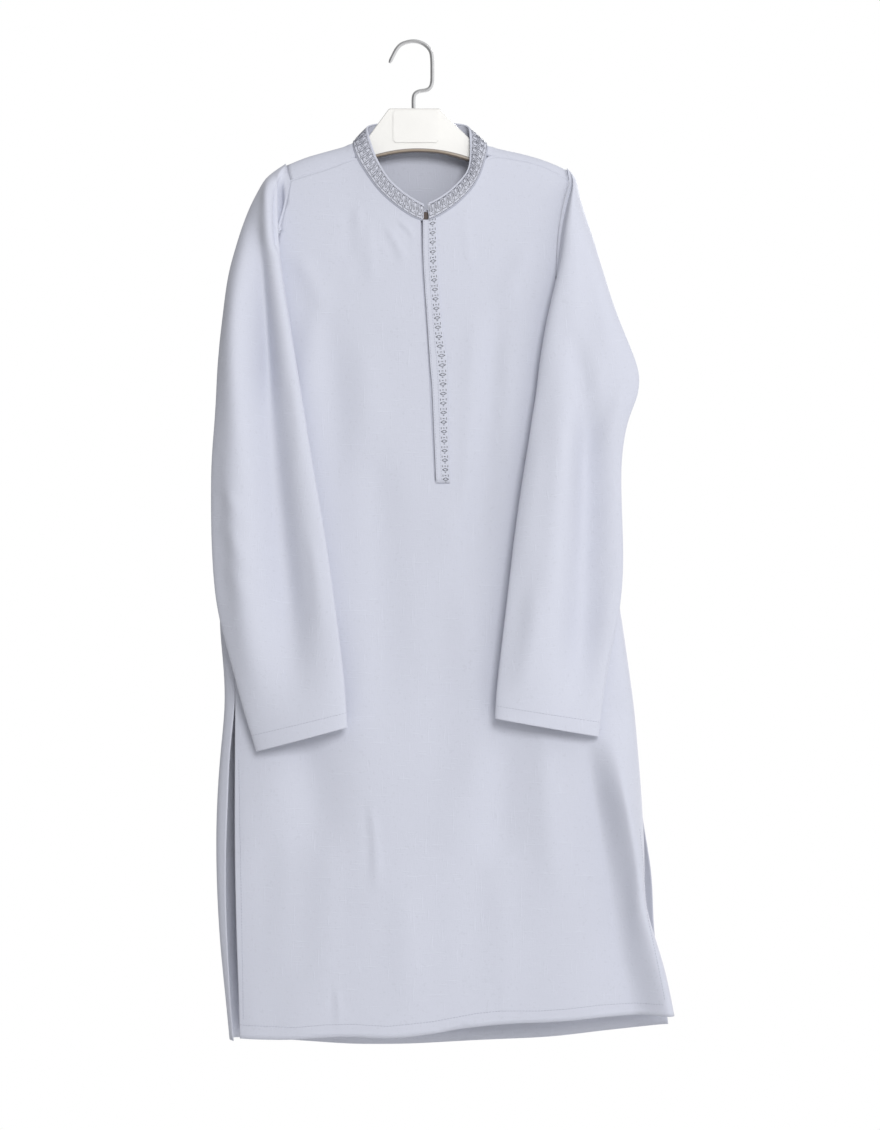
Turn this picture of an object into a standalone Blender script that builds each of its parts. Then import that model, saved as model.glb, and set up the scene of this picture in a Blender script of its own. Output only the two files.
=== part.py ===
"""A long kurta with a band collar, hanging on a plain hanger.

Sizes are in millimetres here and become metres where a mesh is made. The origin is where a
rail bears inside the hook. +Z is up, +X is the viewer's right as seen from the front, and the
front of the garment faces -Y.
"""

import math

import bmesh
import bpy
import numpy as np

MM = 0.001

# Cloth and sewing sizes
WALL = 1.6
COLLAR_WALL = 1.6
STRIP_WALL = 1.2
SEAM_GAP = 0.3
LIE_GAP = 0.3

# Heights on the garment, below the rail
UNDERARM = -409.0
PLACKET_FOOT = -512.0
SLIT_TOP = -772.0

# How square the flattened tube of the body is: 2 is an ellipse
OVAL = 2.6

# How many rows and columns of points each cloth piece has
FRONT_YOKE_ROWS = 9
BACK_YOKE_ROWS = 14
SIDE_ROWS = 6
SLIT_ROWS = 8
SHOULDER_COLUMNS = 4

# The back panel's first rows, as shares of its reach over the shoulder line, and then as
# lengths of cloth behind the line; the neck's columns start behind it and step down
OVER_SHARES = (1, 0.6, 0.25, 0)
BEHIND_ROWS = (5, 12)
NECK_STEPS = (0, 4, 8, 12, 17, 24)
NECK_SPREAD = 2.4


def table(names, rows):
    """A small table as a dictionary from each column's name to its numbers."""
    return dict(zip(names.split(), np.array(rows, float).T))


def smooth(at, places, values):
    """Values read on a smooth curve through the rows of a table."""
    places, values = np.asarray(places, float), np.asarray(values, float)
    if places[0] > places[-1]:
        places, values = places[::-1], values[::-1]
    slopes = np.gradient(values, places)
    at = np.clip(np.asarray(at, float), places[0], places[-1])
    i = np.clip(np.searchsorted(places, at) - 1, 0, len(places) - 2)
    width = places[i + 1] - places[i]
    t = (at - places[i]) / width
    return (
        (1 + 2 * t) * (1 - t) ** 2 * values[i]
        + t * (1 - t) ** 2 * width * slopes[i]
        + t * t * (3 - 2 * t) * values[i + 1]
        - t * t * (1 - t) * width * slopes[i + 1]
    )


# The line along the top of both shoulders, with a raised arch over the open neck
SHOULDER_LINE = table("x height", (
    (-230, -205),
    (-190, -178),
    (-170, -158),
    (-152, -144),
    (-129, -133),
    (-95, -123.5),
    (-71, -115.5),
    (-45, -96),
    (-12, -80),
    (8, -76),
    (30, -80),
    (62, -97),
    (86, -117),
    (114, -125),
    (142, -132),
    (160, -138),
    (176, -145),
    (190, -158),
    (212, -186),
    (270, -215),
))

# The widest points of the body on each side. Above the underarm the tube is only imagined.
BODY_SIDES = table("height left right", (
    (-100, -224, 266),
    (-160, -220, 260),
    (-230, -208, 244),
    (-300, -194, 225),
    (-360, -183, 209),
    (-409, -178, 200),
    (-461, -184, 206),
    (-515, -196, 214),
    (-600, -217, 230),
    (-655, -227, 240.5),
    (-716, -221, 249),
    (-770, -218.5, 257),
    (-809, -223, 260),
    (-864, -227.5, 264),
    (-927, -229.5, 267),
    (-991, -228, 273),
    (-1055, -224, 286),
    (-1111, -218, 299),
    (-1175, -212, 303),
))

# How far the cloth stands from the middle plane, by its drop below the shoulder line
DEPTHS = table("drop front back", (
    (0, 0, 0),
    (2, 5.5, 5.5),
    (5, 9, 9),
    (10, 12, 12),
    (20, 15, 14.5),
    (36, 19, 17.5),
    (60, 23, 20),
    (100, 28, 22.5),
    (160, 32, 25),
    (260, 35, 28),
    (400, 36, 31),
    (700, 38, 34),
    (1100, 40, 36),
))

# The seam that joins front and back lies this far down the front from the shoulder line
FORWARD_SEAM = table("x drop", (
    (-142, 23),
    (-105, 24),
    (-65, 19),
    (84, 13.5),
    (124, 9.5),
    (160, 9),
    (181, 12),
))

# Where the sleeves are sewn in
ARMHOLES = table("height left right", (
    (-141, -147, 178),
    (-147, -146.5, 178),
    (-156, -144.6, 179.4),
    (-164, -141, 180.6),
    (-177, -142, 176.8),
    (-190, -147.6, 172.7),
    (-205, -152, 169.4),
    (-240, -157, 165.5),
    (-280, -161, 164),
    (-320, -165, 168),
    (-355, -169, 177.5),
    (-385, -173.5, 189),
    (-409, -178, 200),
))

# The left side seam runs a little forward of the widest point; the slit edges part below it
LEFT_EDGES = table("height front back", (
    (-409, -178, -178),
    (-461, -183.5, -183.5),
    (-515, -194, -194),
    (-600, -210, -210),
    (-716, -205.5, -205.5),
    (-772, -205.5, -205.5),
    (-800, -205.7, -210.2),
    (-862, -205.8, -213.2),
    (-925, -205.8, -215.8),
    (-990, -204.8, -216.7),
    (-1053, -203.2, -214.2),
    (-1114, -201, -211.4),
    (-1175, -199.4, -206),
))

# How far the back's edge draws in from the widest point along the right slit
RIGHT_SLIT = table("height inset", (
    (-409, 0),
    (-800, 0),
    (-880, 1.5),
    (-1000, 4),
    (-1175, 4),
))

FRONT_HEM = table("x height", (
    (-215, -1153),
    (-137, -1152),
    (-99, -1148.4),
    (-70, -1147),
    (-28, -1149.5),
    (21, -1144),
    (74, -1134.5),
    (102, -1132),
    (146, -1132),
    (174, -1130),
    (217, -1125.5),
    (266, -1123.5),
    (303, -1123.5),
))

BACK_HEM = table("x height", (
    (-215, -1156),
    (-130, -1164),
    (-41, -1168.5),
    (20, -1168),
    (81, -1164),
    (140, -1161),
    (181, -1157),
    (221, -1152),
    (262, -1146.5),
    (303, -1140),
))

# The placket's slit, as the x of its left side, continued below as a line of the cloth
SLIT_LINE = table("height x", (
    (-209, 9.2),
    (-256, 9.6),
    (-309, 13.2),
    (-377, 17.6),
    (-459, 22.2),
    (-512, 24.6),
    (-800, 31),
    (-1175, 34),
))
UNDERLAP_REACH = 9.0
SLIT_WIDTH = 2.3
NOTCH_REACH = 9.1
OVERLAP_REACH = 18.2

# The neck edge from the slit round the left, the back and the right, and the collar's upper
# edge over it. Side is -1 on the front, 0 on the shoulder line and 1 on the back. Parts is
# how many columns of cloth lie between a row and the next.
NECK = table("x height side top_x top_y top_z parts", (
    (9.2, -208.9, -1, 10.2, -28.2, -190.8, 1),
    (0.2, -205.2, -1, 3.4, -27.8, -186.6, 2),
    (-18.7, -192.6, -1, -9, -26.6, -178.6, 2),
    (-41.6, -171.2, -1, -29, -23, -160.5, 2),
    (-61, -141.2, -1, -44.5, -15, -132.5, 1),
    (-65, -134, -1, -46.5, -14, -126, 1),
    (-68.3, -124.5, -1, -50, -11.5, -116, 1),
    (-69.4, -118.3, -1, -52.8, -7.5, -105.5, 1),
    (-69.6, -115.2, 0, -53.9, 0, -99.5, 2),
    (-62, -111.5, 1, -50, 7.5, -94.5, 2),
    (-40, -111, 1, -34, 12, -91.5, 2),
    (8, -110.6, 1, 6, 14.5, -90, 2),
    (58, -111.5, 1, 46, 12, -91.5, 2),
    (78, -113.5, 1, 60.5, 7.5, -94.5, 2),
    (85.4, -116.4, 0, 65.5, 0, -99.5, 1),
    (85.8, -119.6, -1, 66.2, -7.5, -106.5, 1),
    (85.9, -124.5, -1, 66.8, -11.5, -117, 1),
    (84.6, -130.9, -1, 67, -13.5, -127, 1),
    (78.2, -153.9, -1, 66.3, -16.5, -147, 1),
    (69.3, -171.2, -1, 58.5, -21.5, -159.5, 1),
    (51.8, -189.1, -1, 44.5, -25.5, -174, 1),
    (40, -197.6, -1, 35, -26.8, -181, 1),
    (27.4, -205.4, -1, 25, -27.7, -187, 1),
    (18.3, -209.1, -1, 17, -28.2, -190.5, 1),
))
LEFT_SEAM_ROW = 5
RIGHT_SEAM_ROW = 17
COLLAR_ROWS = 3
LEFT_COLLAR_END = 3.2
COLLAR_GAP = 0.5
COLLAR_PROUD = 1.0
COLLAR_BULGE = 0.8

# The largest soft folds: a line down the cloth, how far it stands in or out, and its width
FOLDS = table("side x_top top x_low low out width", (
    (-1, 221, -838, 272, -1075, -7, 16),
    (-1, 150, -690, 205, -1125, 4, 34),
    (-1, -150, -830, -165, -1150, -3.5, 22),
    (-1, -40, -560, -30, -1150, 2.5, 40),
    (-1, 80, -560, 100, -1150, -3, 30),
    (1, -120, -230, -150, -1160, 4, 34),
    (1, -60, -260, -75, -1165, -5, 24),
    (1, 40, -240, 60, -1165, 4, 38),
    (1, 130, -260, 170, -1155, -5, 26),
))
FOLD_FADE = 120.0

# The step for measuring the cloth's slope, and how near the middle plane both sides count
FEEL = 0.6
MERGE = 4.0

# Where the search for a height starts, how many rounds settle it, and a length over the
# shoulder that is surely below the neck
FIRST_GUESS = -150.0
SETTLE = 12
LEVEL_SETTLE = 6
WELL_DOWN = 300.0

# A length over the shoulder of zero width would have no slope: this rounds it
OVER_ROUND = 8.0

# The sleeves at heights down them: the inner and outer folds, their depths, the tube's
# thickness, and how far the rows lean from level; then the levels of the rows from the
# underarm to the cuff, and how the cloth sets off at the armhole and passes the underarm
SLEEVE_COLUMNS = "height in_x out_x in_y out_y thick tilt"
LEFT_SLEEVE = table(SLEEVE_COLUMNS, (
    (-178, -154, -180, -27, -4, 26, 0),
    (-213, -156, -197, -35, -12, 32, 0),
    (-250, -151.5, -204, -40, -18, 34, 0),
    (-288, -146, -210, -43, -23, 34, 0),
    (-326, -140, -214.4, -45, -27, 32, 0),
    (-360, -134.6, -218.6, -46, -29, 31, 0),
    (-386, -130.2, -221.7, -47, -30, 30, 0),
    (-409, -126.6, -224, -48, -31, 29, 0),
    (-440, -121.8, -227.1, -50, -31, 28, -2),
    (-480, -115.6, -230.9, -53, -32, 27, -4),
    (-530, -107.2, -232.4, -55, -32, 26, -6),
    (-590, -97.2, -231.1, -56, -33, 25, -8),
    (-650, -89, -224.9, -57, -34, 24, -10),
    (-710, -81.4, -206.9, -58, -37, 24, -12),
    (-760, -76.2, -194.3, -58, -39, 24, -14),
    (-805.5, -73.5, -180.2, -58, -40, 22, -14.5),
))
RIGHT_SLEEVE = table(SLEEVE_COLUMNS, (
    (-178, 182, 192, -25, -4, 24, 0),
    (-213, 174, 203, -35, -12, 32, 0),
    (-250, 169.6, 215, -40, -18, 34, 0),
    (-288, 162.7, 223.6, -43, -22, 34, 0),
    (-326, 153.6, 237.9, -45, -27, 32, 0),
    (-360, 147.8, 252.9, -46, -30, 31, 0),
    (-386, 143.7, 262, -47, -32, 30, 0),
    (-409, 140.4, 259.5, -48, -32, 29, 0),
    (-440, 135.7, 248, -50, -33, 28, -1),
    (-480, 129.9, 241, -53, -33, 27, -2),
    (-530, 122.5, 240.7, -55, -33, 26, -4),
    (-590, 114.7, 243.1, -56, -34, 25, -6),
    (-650, 107.5, 239.1, -57, -35, 24, -8),
    (-710, 100.4, 225.9, -58, -37, 24, -10),
    (-760, 94.8, 217.9, -58, -39, 24, -11),
    (-792, 93.2, 214, -58, -40, 22, -11),
))
SLEEVE_LEVELS = (0.018, 0.041, 0.072, 0.11, 0.16, 0.22, 0.29, 0.38, 0.48, 0.58, 0.68, 0.77, 0.85,
                 0.92, 0.97, 1.0)
TOP_SEGMENTS = 5
TOP_PARTS = 5
TOP_SHARES = (0.2, 0.6)
CAP_BULGE = 4.0
PASS_UNDERARM = 5.0
PASS_LEVELS = 0.12
CLOSE_SHARE = 0.33
UNDERARM_TURN = (-1.0, -12.0)
SLEEVE_CLEARANCE = 4.5
HEAD_RISE = 4.0
HEAD_REACH = 2.5
STAND_BELOW = 0.5
EDGE_SLOPE = 4.0

# The hanger: its upper edge over the neck, its lower edge, and its rounded section
HANGER_NECK = table("x top", (
    (-69, -119),
    (-60, -114),
    (-51, -107.3),
    (-29, -77.2),
    (-27, -75.6),
    (30, -75.6),
    (32, -77),
    (48.7, -94.5),
    (66, -110.7),
    (76, -117),
    (86, -121.8),
))
HANGER_FOOT = table("x low", (
    (-152, -168),
    (-128, -160),
    (-95, -149.5),
    (-69, -141),
    (-42.8, -133.9),
    (-15, -128.1),
    (7, -126.9),
    (31.3, -128.7),
    (66, -138.1),
    (86, -143),
    (110, -148.5),
    (141, -155.5),
    (177, -167),
))
HANGER_STATIONS = (
    -148, -143, -136, -128, -108, -88, -75, -69, -60, -51, -42, -35, -29, -27, -18, -6, 6, 18,
    30, 32, 40, 48.7, 57, 66, 76, 86, 100, 120, 138, 150, 160, 165,
)
HANGER_HALF = 5.0
HANGER_CLEARANCE = 3.7
NECK_CORNER = 2.4
ARM_CORNER = 6.0
CORNER = table("across down", (
    (0, 0),
    (0.6, 0.13),
    (0.9, 0.45),
    (1, 1),
))
TIP_SHRINK = 0.6

PLATE_LEFT, PLATE_RIGHT = -23.0, 29.4
PLATE_TOP, PLATE_LOW = -79.0, -116.0
PLATE_THICK = 0.8
PLATE_CORNER = 2.0

# The middle of the bent rod, from its tip to where it enters the hanger
HOOK_LINE = table("x height", (
    (-27.3, -22.6),
    (-23, -13.9),
    (-18.6, -6),
    (-12.5, -0.4),
    (-2, 2.5),
    (7, 1.7),
    (15.1, -2.4),
    (20.6, -9.3),
    (22.2, -19.1),
    (22.4, -32),
    (22.2, -44),
    (20.2, -50.8),
    (15.5, -54.2),
    (6.5, -55.8),
    (2, -59),
    (0.6, -64.4),
    (0.6, -75.3),
))
ROD_RADIUS = 2.3
HOOK_POINTS = 46

BUTTON_RADIUS = 5.5
BUTTON_THICK = 2.4
BUTTON_X, BUTTON_HEIGHT = 14.6, -204.8
UNDERLAP_SET_BACK = 4.8
UNDERLAP_RISE = 13.0


def material(name, colour, roughness, metallic=0.0):
    """A plain finish for one kind of surface."""
    made = bpy.data.materials.new(name)
    made.use_nodes = True
    shader = made.node_tree.nodes["Principled BSDF"]
    shader.inputs["Base Color"].default_value = (*colour, 1)
    shader.inputs["Roughness"].default_value = roughness
    shader.inputs["Metallic"].default_value = metallic
    made.diffuse_color = (*colour, 1)
    return made


def raised(value, power):
    """A signed power, as a superellipse needs."""
    return np.sign(value) * np.abs(value) ** power


def unit(vectors):
    """The vectors at length one."""
    return vectors / np.maximum(np.linalg.norm(vectors, axis=-1, keepdims=True), 1e-9)


def ease(share):
    """A share that starts and ends softly."""
    share = np.clip(share, 0, 1)
    return share * share * (3 - 2 * share)


def shoulder(x):
    """The height of the shoulder line."""
    return smooth(x, SHOULDER_LINE["x"], SHOULDER_LINE["height"])


def sides(height):
    """The middle and half the width of the body at a height."""
    left = smooth(height, BODY_SIDES["height"], BODY_SIDES["left"])
    right = smooth(height, BODY_SIDES["height"], BODY_SIDES["right"])
    return (left + right) / 2, (right - left) / 2


def depth(drop, side):
    """How far the cloth stands out at a drop, on the front or the back."""
    root = np.sqrt(DEPTHS["drop"])
    at = np.sqrt(np.maximum(drop, 0))
    front = smooth(at, root, DEPTHS["front"])
    return np.where(side < 0, front, smooth(at, root, DEPTHS["back"]))


def fold_at(x, height, side):
    """How far the largest folds push the cloth outward."""
    out = np.zeros(np.shape(x))
    for k in range(len(FOLDS["side"])):
        row = {name: column[k] for name, column in FOLDS.items()}
        along = (row["top"] - height) / (row["top"] - row["low"])
        across = x - (row["x_top"] + (row["x_low"] - row["x_top"]) * along)
        start = ease((row["top"] - height) / FOLD_FADE)
        here = row["out"] * np.exp(-((across / row["width"]) ** 2)) * start
        out = out + np.where(side == row["side"], here, 0)
    return out


def cloth_at(x, height, side):
    """The y of the outside of the body's cloth at a place on the front (-1) or back (1)."""
    middle, half = sides(height)
    share = np.clip(np.abs((x - middle) / half), 0, 1)
    fullness = (1 - share**OVAL) ** (1 / OVAL)
    drop = shoulder(x) - height
    out = depth(drop, side) + fold_at(x, height, side) * fullness
    return side * out * fullness


def outward(points):
    """The outward direction of the body's cloth at points on it. Near the middle plane, at
    the sides and along the shoulders, the front's and the back's directions merge."""
    x, y, z = points[..., 0], points[..., 1], points[..., 2]
    own = np.where(y < 0, -1, 1)

    def facing(side):
        slope_x = cloth_at(x + FEEL, z, side) - cloth_at(x - FEEL, z, side)
        slope_z = cloth_at(x, z + FEEL, side) - cloth_at(x, z - FEEL, side)
        run = np.full(np.shape(x), 2 * FEEL)
        return unit(np.stack([-slope_x, run, -slope_z], axis=-1) * np.array(side)[..., None])

    share = 0.5 * ease(1 - np.abs(y) / MERGE)[..., None]
    return unit(facing(own) * (1 - share) + facing(-own) * share)


def drop_of(over):
    """The drop below the shoulder line for a length of cloth measured over the shoulder."""
    return over**2 / (np.abs(over) + OVER_ROUND)


def over_of(drop):
    """The length of cloth over the shoulder that reaches a drop."""
    return (drop + np.sqrt(drop**2 + 4 * OVER_ROUND * drop)) / 2


def angle_of(x, height, side):
    """The angle round the body: 0 at its left side, then the front, pi at its right side."""
    middle, half = sides(height)
    share = np.clip((x - middle) / half, -1, 1)
    angle = np.arccos(raised(-share, OVAL / 2))
    return np.where(side < 0, angle, 2 * math.pi - angle)


def place(angle, over):
    """The x and height at an angle round the body and a length of cloth over the shoulder."""
    height = np.full(np.shape(angle), FIRST_GUESS)
    for _ in range(SETTLE):
        middle, half = sides(height)
        x = middle - half * raised(np.cos(angle), 2 / OVAL)
        height = shoulder(x) - drop_of(over)
    return x, height


def body_point(angle, over, side):
    """Points on the outside of the body's cloth. A back panel's cloth that lies before the
    shoulder line, or round the left side, is on the front."""
    x, height = place(angle, over)
    wraps = np.sin(angle) * -side < 0
    here = np.where((over < 0) | wraps, -side, side)
    return np.stack([x, cloth_at(x, height, here), height], axis=-1)


def seam_drop(x):
    """The drop of the forward shoulder seam."""
    return smooth(x, FORWARD_SEAM["x"], FORWARD_SEAM["drop"])


class Armhole:
    """One armhole, as a loop from the shoulder line down the front and back to the underarm."""

    def __init__(self, name):
        self.name = name
        self.outward = -1 if name == "left" else 1
        self.top = ARMHOLES["height"][0]
        for _ in range(SETTLE):
            self.top = float(shoulder(self.x(self.top)))
        seam = float(shoulder(self.x(self.top)) - seam_drop(self.x(self.top)))
        for _ in range(SETTLE):
            seam = float(shoulder(self.x(seam)) - seam_drop(self.x(seam)))
        self.seam = self.turn_at(seam)
        self.reach = float(over_of(shoulder(self.x(seam)) - seam))

    def x(self, height):
        return smooth(height, ARMHOLES["height"], ARMHOLES[self.name])

    def turn_at(self, height):
        """How far round the loop a height is: 0 on the shoulder line, pi at the underarm."""
        return math.acos(1 - 2 * (self.top - height) / (self.top - UNDERARM))

    def turns(self, side):
        """Where the rows of a panel's yoke meet the armhole, positive on the front."""
        if side < 0:
            return np.linspace(self.seam, math.pi, FRONT_YOKE_ROWS + 1)
        overs = [-share * self.reach for share in OVER_SHARES] + list(BEHIND_ROWS)
        turns = []
        for over in overs:
            height = self.top - 1
            for _ in range(SETTLE):
                height = min(float(shoulder(self.x(height)) - drop_of(over)), self.top)
            turns.append(self.turn_at(height) * (1 if over < 0 else -1))
        rest = BACK_YOKE_ROWS + 2 - len(turns)
        return np.concatenate([turns[:-1], np.linspace(turns[-1], -math.pi, rest)])

    def loop(self, turns):
        """Places round the loop: x, height and which side of the garment."""
        height = self.top - (self.top - UNDERARM) * (1 - np.cos(turns)) / 2
        return self.x(height), height, np.where(turns > 0, -1, 1)

    def points(self, turns):
        x, height, side = self.loop(turns)
        return np.stack([x, cloth_at(x, height, side), height], axis=-1)


def neck_edge():
    """The neck edge at each column of cloth: x, signed length over the shoulder, the collar's
    upper edge, and the number of the column at each row of the table."""
    over = NECK["side"] * over_of(np.maximum(shoulder(NECK["x"]) - NECK["height"], 0))
    at, starts = [], []
    for row, parts in enumerate(NECK["parts"]):
        starts.append(len(at))
        last = row == len(NECK["parts"]) - 1
        at += [row] if last else [row + k / parts for k in range(int(parts))]
    rows = np.arange(len(over))
    top = [smooth(at, rows, NECK[name]) for name in ("top_x", "top_y", "top_z")]
    return smooth(at, rows, NECK["x"]), smooth(at, rows, over), np.stack(top, -1), starts


def edge_angle(heights, armhole, side):
    """The angle of a panel's edge below the underarm."""
    if armhole.name == "left":
        name = "front" if side < 0 else "back"
        x = smooth(heights, LEFT_EDGES["height"], LEFT_EDGES[name])
        angle = angle_of(x, heights, -1)
        return angle if side < 0 else angle + 2 * math.pi
    middle, half = sides(heights)
    inset = 0 if side < 0 else smooth(heights, RIGHT_SLIT["height"], RIGHT_SLIT["inset"])
    return angle_of(middle + half - inset, heights, side)


def hem_height(x, side):
    hem = FRONT_HEM if side < 0 else BACK_HEM
    return smooth(x, hem["x"], hem["height"])


def panel_grid(side, top_x, top_over, spread_x, fixed=()):
    """The front or back panel as rows of points from its top edge to its hem. Below the top
    edge the columns set off from their spread places. Fixed columns keep their distance from
    the slit line: (column, distance) for each."""
    left, right = Armhole("left"), Armhole("right")
    turns = [arm.turns(side) for arm in (left, right)]
    yoke = len(turns[0]) - 1
    columns = len(top_x)
    low_share = np.linspace(0, 1, columns)
    ends = []
    for arm, turn in zip((left, right), turns):
        x, height, where = arm.loop(turn)
        over = over_of(np.maximum(shoulder(x) - height, 0))
        over = np.where(where == side, over, -over)
        angle = angle_of(x, height, side)
        angle[-1] = edge_angle(UNDERARM, arm, side)
        ends.append((angle, over))
    begun = 0 if side < 0 else len(NECK_STEPS) - 1
    progress = (ends[0][1] - ends[0][1][begun]) / (ends[0][1][-1] - ends[0][1][begun])

    def to_level(angle, level):
        """The length over the shoulder at which each column reaches a height."""
        low = np.full(np.shape(angle), WELL_DOWN)
        over = over_of(shoulder(place(angle, low)[0]) - level)
        for _ in range(LEVEL_SETTLE):
            x = place(angle, over)[0]
            over = over_of(shoulder(x) - level)
        return over

    def hold(angle, over):
        """Moves the fixed columns onto their lines, and spreads the others between them."""
        if not fixed:
            return angle
        x, height = place(angle, over)
        at = [0] + [column for column, _ in fixed] + [columns - 1]
        line = smooth(height, SLIT_LINE["height"], SLIT_LINE["x"])
        held = [angle[0]]
        held += [angle_of(line[c] + away, height[c], side) for c, away in fixed]
        held += [angle[-1]]
        shift = np.interp(np.arange(columns), at, np.array(held) - angle[at])
        return angle + shift

    def yoke_over(r):
        """The length over the shoulder of each column at a row of the yoke."""
        if r < begun:
            rows = [-share for share in OVER_SHARES]
            ahead = -rows[r] * top_over if r < len(rows) else BEHIND_ROWS[r - len(rows)]
            return np.where(top_over < 0, ahead, top_over + NECK_STEPS[r])
        start = top_over if side < 0 else np.where(
            top_over < 0, BEHIND_ROWS[-1], top_over + NECK_STEPS[-1])
        return start + (level_over - start) * progress[r]

    rows = []
    level_angle = ends[0][0][-1] + (ends[1][0][-1] - ends[0][0][-1]) * low_share
    level_over = to_level(level_angle, UNDERARM)
    for r in range(yoke + 1):
        blend = ease(r / yoke)
        over = yoke_over(r)
        x = spread_x if r else top_x
        first, last = ends[0][0][r], ends[1][0][r]
        share = (angle_of(x, shoulder(x) - drop_of(over), side) - first) / (last - first)
        angle = first + (last - first) * (share + (low_share - share) * blend)
        if r > 0:
            angle = hold(angle, over)
        points = body_point(angle, over, side)
        points[0] = left.points(turns[0][r])
        points[-1] = right.points(turns[1][r])
        rows.append(points)

    def skirt_row(heights):
        first = edge_angle(heights[0], left, side)
        last = edge_angle(heights[-1], right, side)
        angle = first + (last - first) * low_share
        over = to_level(angle, heights)
        angle = hold(angle, over)
        return body_point(angle, to_level(angle, heights), side)

    foot = np.full(columns, PLACKET_FOOT)
    rows.append(skirt_row((foot + UNDERARM) / 2))
    rows.append(skirt_row(foot))
    for r in range(1, SIDE_ROWS + 1):
        rows.append(skirt_row(foot + (SLIT_TOP - foot) * r / SIDE_ROWS))
    for r in range(1, SLIT_ROWS + 1):
        above = rows[-1][:, 0]
        for _ in range(3):
            row = skirt_row(SLIT_TOP + (hem_height(above, side) - SLIT_TOP) * r / SLIT_ROWS)
            above = row[:, 0]
        rows.append(row)
    return np.array(rows)


def drawn_in(grid, top=0.0, bottom=0.0, first=0.0, last=0.0):
    """The grid with its edges drawn back along the cloth, as at a seam."""
    made = grid.copy()
    for edge, inner, gap in (
        (np.s_[0], np.s_[1], top),
        (np.s_[-1], np.s_[-2], bottom),
        (np.s_[:, 0], np.s_[:, 1], first),
        (np.s_[:, -1], np.s_[:, -2], last),
    ):
        made[edge] = made[edge] + unit(grid[inner] - grid[edge]) * gap
    return made


def grid_normals(grid, flip):
    """The outward direction at each point of a grid."""
    made = unit(np.cross(np.gradient(grid, axis=0), np.gradient(grid, axis=1)))
    return -made if flip else made


def tube_normals(grid, flip, closed_from):
    """The outward direction at each point of a sleeve's grid, from the squares round it. From
    the row closed_from on, the last column is the first one again."""
    across_one = grid[1:, 1:] - grid[:-1, :-1]
    across_other = grid[:-1, 1:] - grid[1:, :-1]
    square = np.cross(across_one, across_other) * (-1 if flip else 1)
    total = np.zeros(grid.shape)
    total[:-1, :-1] += square
    total[1:, :-1] += square
    total[:-1, 1:] += square
    total[1:, 1:] += square
    joined = total[closed_from:, 0] + total[closed_from:, -1]
    total[closed_from:, 0] = joined
    total[closed_from:, -1] = joined
    return unit(total)


def wall(name, grid, normals, thick, finish, flip=False, open_faces=(), closed_from=None):
    """A sheet of cloth with a real thickness, as one closed body: the grid is its outside."""
    rows, columns = grid.shape[:2]
    inside = grid - normals * thick
    mesh = bmesh.new()
    made = {}

    def spot(r, c):
        joined = closed_from is not None and r >= closed_from and c == columns - 1
        return (r, 0) if joined else (r, c)

    def corner(layer, r, c):
        if (layer, r, c) not in made:
            source = inside if layer else grid
            made[layer, r, c] = mesh.verts.new([float(v) * MM for v in source[r, c]])
        return made[layer, r, c]

    used = {}
    for r in range(rows - 1):
        for c in range(columns - 1):
            if (r, c) in open_faces:
                continue
            square = [spot(r, c), spot(r + 1, c), spot(r + 1, c + 1), spot(r, c + 1)]
            if flip:
                square = square[::-1]
            for half in ((0, 1, 2), (0, 2, 3)):
                spots = [square[k] for k in half]
                mesh.faces.new([corner(0, *s) for s in spots])
                mesh.faces.new([corner(1, *s) for s in spots[::-1]])
            for a, b in zip(square, square[1:] + square[:1]):
                if (b, a) in used:
                    del used[(b, a)]
                else:
                    used[(a, b)] = True
    for a, b in used:
        mesh.faces.new([corner(0, *b), corner(0, *a), corner(1, *a)])
        mesh.faces.new([corner(0, *b), corner(1, *a), corner(1, *b)])
    data = bpy.data.meshes.new(name)
    mesh.to_mesh(data)
    mesh.free()
    return placed(name, data, finish)


def placed(name, data, finish):
    """Puts a mesh in the scene with its finish, shaded smooth but for real edges."""
    data.materials.append(finish)
    data.shade_smooth()
    data.set_sharp_from_angle(angle=math.radians(40))
    made = bpy.data.objects.new(name, data)
    bpy.context.collection.objects.link(made)
    return made


def front_columns(neck_x, neck_over, starts):
    """The top of each column of the front panel, and where the fixed columns are."""
    left, right = Armhole("left"), Armhole("right")
    seam = starts[LEFT_SEAM_ROW]
    first = left.points(np.array([left.seam]))[0]
    last = right.points(np.array([right.seam]))[0]
    shoulder_left = np.linspace(first[0], neck_x[seam], SHOULDER_COLUMNS + 1)[:-1]
    neck_left = np.arange(seam, -1, -1)
    other = starts[RIGHT_SEAM_ROW]
    neck_right = np.arange(len(neck_x) - 1, other - 1, -1)
    shoulder_right = np.linspace(neck_x[other], last[0], SHOULDER_COLUMNS + 1)[1:]
    slit = neck_x[0] + SLIT_WIDTH
    notch_over = abs(neck_over[-1])
    x = np.concatenate([shoulder_left, neck_x[neck_left], [slit], neck_x[neck_right],
                        shoulder_right])
    over = np.concatenate([over_of(seam_drop(shoulder_left)), np.abs(neck_over[neck_left]),
                           [notch_over], np.abs(neck_over[neck_right]),
                           over_of(seam_drop(shoulder_right))])
    at = SHOULDER_COLUMNS + seam
    fixed = ((at - 1, -UNDERLAP_REACH), (at, 0.0), (at + 1, SLIT_WIDTH),
             (at + 2, NOTCH_REACH), (at + 3, OVERLAP_REACH))
    return x, over, fixed


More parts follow.
